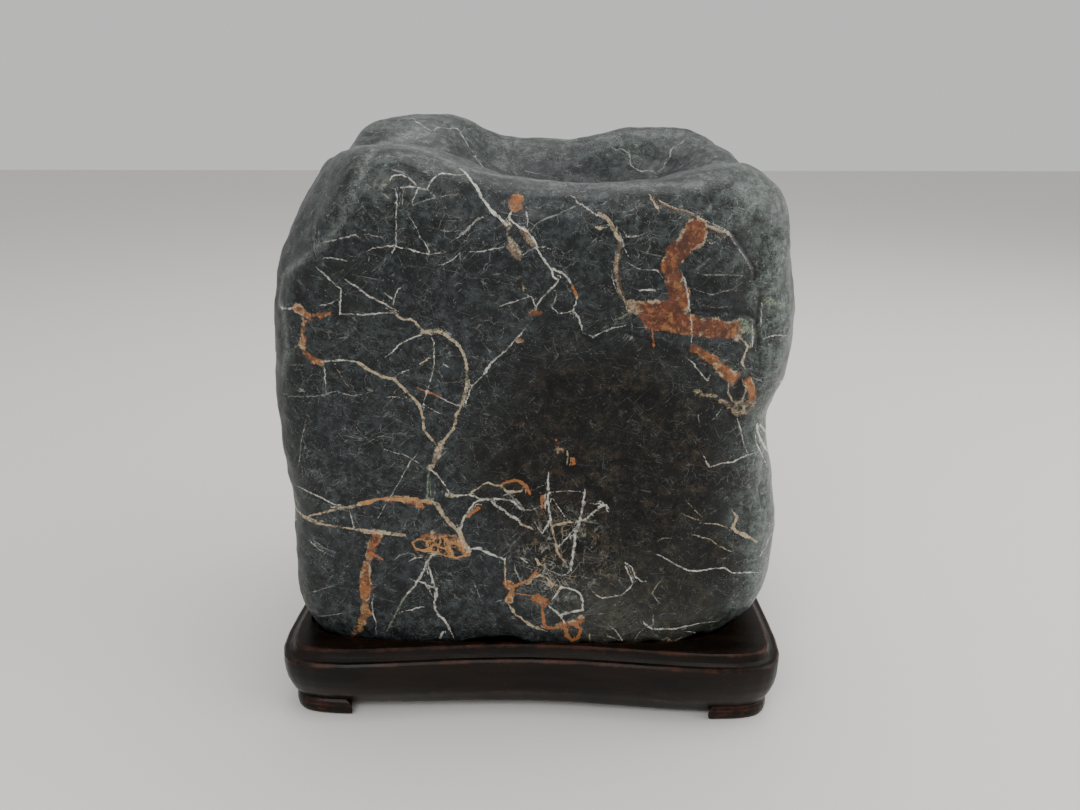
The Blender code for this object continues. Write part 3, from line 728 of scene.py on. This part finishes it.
def divide_near(stone, tree, reach):
    """Divides the faces that lie within reach of a vein, in mm."""
    select_only(stone)
    bpy.ops.object.mode_set(mode="EDIT")
    bpy.ops.mesh.select_mode(type="FACE")
    bpy.ops.mesh.select_all(action="DESELECT")
    bpy.ops.object.mode_set(mode="OBJECT")
    corner_near = [tree.find(v.co / MM)[2] < reach for v in stone.data.vertices]
    for face in stone.data.polygons:
        face.select = any(corner_near[i] for i in face.vertices)
    bpy.ops.object.mode_set(mode="EDIT")
    bpy.ops.mesh.subdivide(number_cuts=1, smoothness=0.6, ngon=False)
    bpy.ops.object.mode_set(mode="OBJECT")


def write_attribute(piece, name, kind, values):
    made = piece.data.attributes.new(name, kind, "POINT")
    made.data.foreach_set("vector" if kind == "FLOAT_VECTOR" else "value", values.ravel())


def roughen(stone, surface):
    """Gives the stone its worn lumps, its cracks and its creases, and notes where they are, for the painted shade
    in the creases.
    """
    cut = []
    for width, depth, route in CREASES:
        for place, across in walk(route, width, 1.0, lambda x, y: cast_from_photo(surface, x, y)):
            cut.append((place, across / 2, depth))
    tree = tree_of([place for place, _, _ in cut])
    places = read_vertices(stone, "co") / MM
    normals = read_vertices(stone, "normal")
    dark = np.zeros(len(places))
    lift = np.zeros(len(places))
    for i, place in enumerate(places):
        spot = Vector(place)
        for size, height, seed in WORN_LUMPS:
            lift[i] += height * noise.noise(spot / size + Vector(seed))
        _, nearest, distance = tree.find(spot)
        _, half, depth = cut[nearest]
        share = math.exp(-((distance / half) ** 2))
        # The share of painted shade that darkens the colour in the crease
        dark[i] = share * min(1, depth / 0.5)
        lift[i] -= share * depth
    moved = places + normals * lift[:, None]
    stone.data.vertices.foreach_set("co", (moved * MM).ravel())
    stone.data.update()
    write_attribute(stone, "painted_crease_shade", "FLOAT", dark)


# Notes at each point how much painted highlight it takes from the nearest traced edge
def mark_edge_highlights(stone, surface):
    edge_highlight = []
    for width, route in EDGE_HIGHLIGHTS:
        edge_highlight += walk(route, width, 1.5, lambda x, y: cast_from_photo(surface, x, y))
    tree = tree_of([place for place, _ in edge_highlight])
    share = np.zeros(len(stone.data.vertices))
    for i, vertex in enumerate(stone.data.vertices):
        _, nearest, distance = tree.find(vertex.co / MM)
        share[i] = math.exp(-((distance / edge_highlight[nearest][1] * 1.6) ** 2))
    write_attribute(stone, "painted_edge_highlight", "FLOAT", share)


def mark_fine_veins(stone, fine):
    """Notes at each point the way to the nearest fine vein, and that vein's width and colour."""
    tree = tree_of([place for place, _, _ in fine])
    count = len(stone.data.vertices)
    to_vein = np.zeros((count, 3))
    distances = np.zeros(count)
    half_widths = np.zeros(count)
    colours = np.zeros((count, 3))
    strengths = np.zeros(count)
    for i, vertex in enumerate(stone.data.vertices):
        spot = vertex.co / MM
        place, nearest, distance = tree.find(spot)
        _, half, kind = fine[nearest]
        to_vein[i] = place - spot
        distances[i] = min(distance, FARTHEST)
        half_widths[i] = half
        colours[i] = VEIN_KINDS[kind][0]
        strengths[i] = VEIN_KINDS[kind][1]
    write_attribute(stone, "to_vein", "FLOAT_VECTOR", to_vein)
    write_attribute(stone, "vein_distance", "FLOAT", distances)
    write_attribute(stone, "vein_half_width", "FLOAT", half_widths)
    write_attribute(stone, "vein_colour", "FLOAT_VECTOR", colours)
    write_attribute(stone, "vein_strength", "FLOAT", strengths)


def mark_broad_veins(stone, broad):
    """Notes at each point how deep inside the broad veins it lies, and their colour."""
    middles = np.array([place for place, _, _ in broad])
    halves = np.array([half for _, half, _ in broad])
    colours = np.array([VEIN_KINDS[kind][0] for _, _, kind in broad])
    rusts = np.array([VEIN_KINDS[kind][2] for _, _, kind in broad])
    places = read_vertices(stone, "co") / MM
    depth = np.zeros(len(places))
    colour = np.zeros((len(places), 3))
    rust = np.zeros(len(places))
    block = 4000
    for start in range(0, len(places), block):
        part = slice(start, start + block)
        gaps = np.linalg.norm(places[part, None, :] - middles[None, :, :], axis=2)
        inside = halves[None, :] - gaps
        deepest = inside.argmax(axis=1)
        depth[part] = np.maximum(inside.max(axis=1), -FARTHEST)
        colour[part] = colours[deepest]
        rust[part] = rusts[deepest]
    write_attribute(stone, "band_depth", "FLOAT", depth)
    write_attribute(stone, "band_colour", "FLOAT_VECTOR", colour)
    write_attribute(stone, "band_rust", "FLOAT", rust)


def hairlines(finish, turn, stretch, size, offset, width):
    """Long thin scratches that run one way over the stone."""
    place = finish.turned(turn, stretch, offset)
    level = finish.maths("ABSOLUTE", finish.grain(size, 1, place) - 0.5)
    return 1 - finish.step(level, width * 0.4, width)


def stone_finish():
    """Blue-black slate, rubbed to a sheen, with its stains, scratches and veins, painted highlights on its edges,
    painted light on its top and painted shade in its creases.
    """
    finish = Finish("veined_slate")
    up = finish.node("ShaderNodeSeparateXYZ", {}, {0: finish.place}, "Z")
    across = finish.node("ShaderNodeSeparateXYZ", {}, {0: finish.place}, "X")
    back = finish.node("ShaderNodeSeparateXYZ", {}, {0: finish.place}, "Y")

    # The body of the stone: dark slate that turns green-grey to the right, and paler green along the top as
    # painted light
    clouds = finish.step(finish.grain(26, 3), 0.40, 0.68)
    mottle = finish.step(finish.grain(2.6, 6, rough=0.72), 0.42, 0.62)
    grit = finish.step(finish.grain(0.55, 4, rough=0.75), 0.42, 0.62)
    colour = finish.mix(mottle * 0.75 + grit * 0.25, DEEP_SLATE, SLATE)
    colour = finish.mix(clouds * mottle * 0.7, colour, GREEN_GREY)
    flank = finish.step(across + (finish.grain(14, 4) - 0.5) * 36, 62, 84)
    behind = finish.step(back + (finish.grain(12, 3) - 0.5) * 20, -40, -22)
    flank = flank * (1 - behind * (1 - finish.step(finish.grain(16, 4, rough=0.6), 0.50, 0.62)) * 0.85)
    basin = finish.near((16, -4, 190), 34, 12)
    # Painted light: the top is made paler green, less so down in the basin
    painted_top_light = finish.step(up + (finish.grain(18, 3) - 0.5) * 34, 172, 200) * (1 - basin * 0.8)
    right_shoulder = finish.near((78, -42, 182), 24, 12)
    # The right side's own green-grey tone, together with the painted light on the top
    green_and_top_light = finish.maths("MAXIMUM", finish.maths("MAXIMUM", flank, painted_top_light * 0.40), right_shoulder * 0.8)
    colour = finish.mix(green_and_top_light * (mottle * 0.62 + grit * 0.38), colour, PALE_GREEN_AND_TOP_LIGHT)
    inky = finish.step(finish.grain(10, 4, rough=0.6), 0.50, 0.62)
    colour = finish.mix(inky * (1 - green_and_top_light * 0.45) * 0.75, colour, INK)
    tan = finish.step(finish.grain(4.5, 5, rough=0.7), 0.48, 0.66)
    stain = finish.near((25, -60, 95), 42, 12)
    low_stain = finish.near((50, -60, 66), 24, 10)
    olive = finish.near((40, -60, 40), 26, 12)
    colour = finish.mix(olive * (0.35 + tan * 0.55), colour, OLIVE_GREY)
    stains = finish.maths("MAXIMUM", stain, low_stain * 0.8) * (0.70 + mottle * 0.3)
    stain_colour = finish.mix(tan * (0.35 + grit * 0.65), DARK_STAIN, BROWN_STAIN)
    colour = finish.mix(stains, colour, stain_colour)
    # Painted highlights: pale grey along the edges and the rim crest
    edge_highlight = finish.attribute("painted_edge_highlight") * (0.10 + mottle * 0.35 + grit * 0.55)
    colour = finish.mix(edge_highlight * 0.85, colour, EDGE_HIGHLIGHT_GREY)

    # Chalky scratches, nets of hairlines and specks
    patchy = finish.step(finish.grain(6, 3), 0.42, 0.62)
    rising = hairlines(finish, (0, 35, 0), (1, 1, 0.13), 1.5, (7, 2, 5), 0.008)
    rising = rising * finish.step(finish.grain(5, 2, finish.turned((0, 0, 0), (1, 1, 1), (9, 9, 9))), 0.5, 0.6)
    falling = hairlines(finish, (0, -50, 20), (1, 1, 0.11), 1.9, (31, 4, 9), 0.008)
    falling = falling * finish.step(finish.grain(6, 2, finish.turned((0, 0, 0), (1, 1, 1), (40, 3, 7))), 0.5, 0.6)
    long_scratches = hairlines(finish, (10, 78, 0), (1, 1, 0.06), 2.6, (3, 41, 6), 0.006) * patchy
    scratches = finish.maths("MAXIMUM", finish.maths("MAXIMUM", rising, falling), long_scratches)
    warp = finish.vectors("SUBTRACT", finish.grain(4, 4, output="Color"), (0.5, 0.5, 0.5))
    crooked = finish.vectors("ADD", finish.place, finish.vectors("MULTIPLY", warp, (4.5, 4.5, 4.5)))
    net = 1 - finish.step(finish.cells(9, crooked), 0.002, 0.012)
    small_net = 1 - finish.step(finish.cells(3.2, crooked), 0.004, 0.022)
    net_patches = finish.step(finish.grain(11, 2), 0.47, 0.60)
    nets = finish.maths("MAXIMUM", net * net_patches, small_net * net_patches * patchy * 0.8)
    broken = finish.step(finish.grain(0.9, 4, rough=0.7), 0.40, 0.56)
    web = hairlines(finish, (0, 18, 0), (1, 1, 0.22), 2.4, (17, 3, 8), 0.030)
    web = finish.maths("MAXIMUM", web, hairlines(finish, (0, -38, 0), (1, 1, 0.22), 2.1, (5, 23, 2), 0.026))
    web = finish.maths("MAXIMUM", web, hairlines(finish, (0, 80, 0), (1, 1, 0.25), 2.8, (2, 7, 29), 0.022))
    webbed = finish.near((10, -60, 60), 15, 12) * finish.step(finish.grain(4, 3), 0.40, 0.56)
    nets = nets * (0.15 + broken * 0.85)
    specks = 1 - finish.step(finish.cells(1.1, feature="F1"), 0.06, 0.20)
    specks = specks * finish.step(finish.grain(1.6, 3), 0.52, 0.62)
    flecks = finish.step(finish.grain(0.42, 3, rough=0.7), 0.60, 0.70) * (0.35 + patchy * 0.65)
    chalk = finish.maths("MAXIMUM", scratches * 0.26, nets * 0.34)
    chalk = finish.maths("MAXIMUM", chalk, finish.maths("MAXIMUM", specks * 0.55, flecks * 0.36))
    chalk = chalk * (1 - stains * 0.55) * (1 + green_and_top_light * 0.9)
    colour = finish.mix(chalk, colour, CHALK)
    web = web * webbed * (0.15 + broken * 0.85) * 0.50
    colour = finish.mix(web, colour, finish.mix(patchy, CREAM, CHALK))

    # Fine veins: crooked lines about the traced routes
    wobble = finish.vectors("SUBTRACT", finish.grain(1.4, 4, output="Color", rough=0.65), (0.5, 0.5, 0.5))
    bent = finish.vectors(
        "ADD", finish.attribute("to_vein", "Vector"), finish.vectors("MULTIPLY", wobble, (1.3, 1.3, 1.3))
    )
    off_line = finish.vectors("LENGTH", bent, (0, 0, 0), "Value")
    half = finish.attribute("vein_half_width") * (finish.grain(2.4, 4, rough=0.6) * 1.7 - 0.10) + 0.05
    line = 1 - finish.step(off_line - half, -0.12, 0.05)
    beside = 1 - finish.step(finish.attribute("vein_distance") - half, 0.5, 0.8)
    strength = finish.attribute("vein_strength")
    whole = finish.step(strength, 0.95, 1.0)
    gaps = finish.maths("MAXIMUM", finish.step(finish.grain(1.7, 3), 0.36, 0.50), whole)
    crumbs = finish.step(finish.grain(0.45, 3, rough=0.7), 0.34, 0.52)
    line = line * beside * (0.30 + gaps * 0.70) * (0.40 + crumbs * 0.60) * strength
    tarnish = finish.step(finish.grain(2.2, 3, finish.turned((0, 0, 0), (1, 1, 1), (5, 8, 2))), 0.45, 0.62)
    vein_colour = finish.mix(tarnish * 0.50, finish.attribute("vein_colour", "Vector"), TARNISH)

    # Broad veins: ragged bands that are mottled with rust, cream and bare stone
    fray = (finish.grain(3.6, 4) - 0.47) * 4.0 + (finish.grain(0.8, 4, rough=0.7) - 0.5) * 2.0
    ragged = finish.attribute("band_depth") + fray
    band = finish.step(ragged, -0.15, 0.50)
    speckle = finish.step(finish.grain(0.9, 5, rough=0.75), 0.40, 0.60)
    blotch = finish.step(finish.grain(4.2, 5, rough=0.62), 0.42, 0.58)
    rust_share = finish.attribute("band_rust")
    band_colour = finish.mix(
        speckle * 0.20 + blotch * 0.62, finish.attribute("band_colour", "Vector"), UMBER
    )
    elsewhere = finish.turned((0, 0, 0), (1, 1, 1), (12, 5, 8))
    glow = finish.step(finish.grain(3.4, 5, elsewhere, rough=0.6), 0.50, 0.62)
    band_colour = finish.mix(glow * rust_share * 0.60, band_colour, ORANGE)
    pale = finish.step(finish.grain(1.2, 5, elsewhere, rough=0.7), 0.57, 0.66)
    rim = (1 - finish.step(ragged, 0.50, 1.30)) * finish.step(finish.grain(5, 5, rough=0.7), 0.50, 0.58)
    pale = finish.maths("MAXIMUM", pale * 0.45, rim * 0.85)
    band_colour = finish.mix(rust_share * pale, band_colour, CREAM)
    chips = finish.step(finish.grain(0.7, 4, rough=0.7), 0.44, 0.53)
    solid = finish.maths("MAXIMUM", chips, rust_share * (0.55 + blotch * 0.35))
    colour = finish.mix(band * (0.12 + solid * 0.85), colour, band_colour)
    colour = finish.mix(line, colour, vein_colour)

    # Painted shade: the creases and cracks are darkened almost to black
    painted_crease_shade = finish.attribute("painted_crease_shade") + (finish.grain(2.2, 5, rough=0.7) - 0.5) * 1.6
    colour = finish.mix(finish.step(painted_crease_shade, 0.35, 1.0) * 0.80, colour, (0.002, 0.002, 0.002))

    rubbed = finish.maths("MAXIMUM", green_and_top_light, edge_highlight)
    height = mottle * 0.5 + grit * 0.30 + band * 0.3 + line * 0.25 - scratches * 0.2
    finish.set(
        Base_Color=colour,
        Roughness=0.46 + mottle * 0.14 + stains * 0.12 + band * 0.14,
        Specular_IOR_Level=0.20,
        Coat_Weight=(0.22 + rubbed * 0.35 + mottle * 0.12) * (1 - stains * 0.85),
        Coat_Roughness=0.30,
        Normal=finish.bump(height, 0.38),
    )
    return finish.material


def make_stone():
    stone = copy_of("stone", "veined_stone")
    smoothing = stone.modifiers.new("water_worn", "SUBSURF")
    smoothing.levels = 2
    smoothing.render_levels = 2
    bpy.ops.object.modifier_apply(modifier=smoothing.name)
    smooth_surface = surface_of(stone)
    fine, broad = lay_veins(smooth_surface)
    tree = tree_of([place for place, _, _ in fine])
    divide_near(stone, tree, FIRST_REFINED)
    divide_near(stone, tree, SECOND_REFINED)
    bpy.ops.object.shade_smooth()
    roughen(stone, smooth_surface)
    surface = surface_of(stone)
    fine, broad = lay_veins(surface)
    mark_fine_veins(stone, fine)
    mark_broad_veins(stone, broad)
    mark_edge_highlights(stone, surface)
    stone.data.materials.clear()
    stone.data.materials.append(stone_finish())
    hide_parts("stone")
    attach(stone, "root")


def find_arrises(stand):
    """Places in mm along the stand's outward edges, where hands and cloths rub it."""
    faces = stand.data.polygons
    beside = {}
    for face in faces:
        for pair in face.edge_keys:
            beside.setdefault(pair, []).append(face.index)
    found = []
    for (first, second), pair in beside.items():
        one, other = (faces[i] for i in pair)
        outward = (other.center - one.center).dot(one.normal) < 0
        if outward and one.normal.angle(other.normal, 0) > ARRIS_ANGLE:
            start = stand.data.vertices[first].co / MM
            end = stand.data.vertices[second].co / MM
            steps = max(1, math.ceil((end - start).length / ARRIS_SPACING))
            found += [start.lerp(end, i / steps) for i in range(steps + 1)]
    return found


def mark_arrises(stand, arrises):
    """Notes at each point of the stand how far the nearest arris is, in mm."""
    tree = tree_of(arrises)
    distances = [min(FARTHEST, tree.find(v.co / MM)[2]) for v in stand.data.vertices]
    write_attribute(stand, "arris_distance", "FLOAT", np.array(distances))


def stand_finish():
    """Near-black stained hardwood, rubbed red along its arrises."""
    finish = Finish("dark_hardwood")
    along = finish.turned((0, 0, 0), (0.12, 1, 1))
    fibres = finish.grain(0.9, 4, along, rough=0.6)
    streaks = finish.grain(3.5, 3, along)
    patches = finish.step(finish.grain(12, 3), 0.35, 0.7)
    colour = finish.mix(finish.step(streaks, 0.35, 0.7), (0.0026, 0.0014, 0.0008), (0.0085, 0.0040, 0.0016))
    ragged = finish.attribute("arris_distance") + (finish.grain(1.8, 5, rough=0.65) - 0.5) * 2.0
    rubbed = (1 - finish.step(ragged, 0.0, 0.8)) * finish.step(finish.grain(9, 5, rough=0.7), 0.42, 0.60)
    colour = finish.mix(rubbed * 0.65, colour, (0.058, 0.017, 0.009))
    specks = 1 - finish.step(finish.cells(3.2, feature="F1"), 0.03, 0.09)
    specks = specks * finish.step(finish.grain(8, 2), 0.5, 0.65)
    colour = finish.mix(specks * 0.7, colour, (0.12, 0.035, 0.020))
    pores = finish.step(fibres, 0.62, 0.78)
    finish.set(
        Base_Color=colour,
        Roughness=0.26 + patches * 0.12 + pores * 0.15,
        Specular_IOR_Level=0.18,
        Normal=finish.bump(fibres * 0.6 + patches * 0.4, 0.06),
    )
    return finish.material


def make_stand():
    stand = copy_of("stand", "carved_stand")
    arrises = find_arrises(stand)
    easing = stand.modifiers.new("eased_arrises", "BEVEL")
    easing.width = 0.35 * MM
    easing.segments = 3
    easing.limit_method = "ANGLE"
    easing.angle_limit = math.radians(24)
    bpy.ops.object.modifier_apply(modifier=easing.name)
    bpy.ops.object.mode_set(mode="EDIT")
    bpy.ops.mesh.select_all(action="SELECT")
    bpy.ops.mesh.subdivide(number_cuts=2, smoothness=0, ngon=False)
    bpy.ops.object.mode_set(mode="OBJECT")
    bpy.ops.object.shade_smooth_by_angle(angle=math.radians(40))
    mark_arrises(stand, arrises)
    stand.data.materials.clear()
    stand.data.materials.append(stand_finish())
    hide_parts("stand")
    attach(stand, "root")


def set_stage():
    """The pale floor, the soft lights and the photograph's camera."""
    bpy.ops.mesh.primitive_plane_add(size=6, location=(0, 0, 0))
    floor = bpy.context.object
    floor.name = "pale_floor"
    paper = Finish("pale_paper")
    paper.set(Base_Color=(0.72, 0.70, 0.67), Roughness=0.8)
    floor.data.materials.append(paper.material)

    camera_data = bpy.data.cameras.new("photo_camera")
    camera_data.sensor_width = SENSOR_WIDTH
    camera_data.lens = LENS_PIXELS / PHOTO_WIDTH * SENSOR_WIDTH
    camera_data.clip_start = 0.01
    camera = bpy.data.objects.new("photo_camera", camera_data)
    camera.location = CAMERA_PLACE
    camera.rotation_euler = CAMERA_TURN
    bpy.context.scene.collection.objects.link(camera)
    bpy.context.scene.camera = camera

    for name, place, size, power in (
        ("ceiling_light", (0.10, 0.20, 1.10), 0.8, 6),
        ("front_light", (-0.30, -0.85, 0.90), 0.6, 5),
        ("right_light", (0.85, -0.10, 0.60), 0.9, 6),
    ):
        lamp_data = bpy.data.lights.new(name, "AREA")
        lamp_data.shape = "SQUARE"
        lamp_data.size = size
        lamp_data.energy = power
        lamp = bpy.data.objects.new(name, lamp_data)
        lamp.location = place
        aim = Vector((0, 0, 0.1)) - Vector(place)
        lamp.rotation_euler = aim.to_track_quat("-Z", "Y").to_euler()
        bpy.context.scene.collection.objects.link(lamp)

    world = bpy.data.worlds.new("pale_room")
    world.use_nodes = True
    world.node_tree.nodes["Background"].inputs["Color"].default_value = (0.80, 0.80, 0.79, 1)
    world.node_tree.nodes["Background"].inputs["Strength"].default_value = 0.85
    bpy.context.scene.world = world


set_stage()
make_stone()
make_stand()
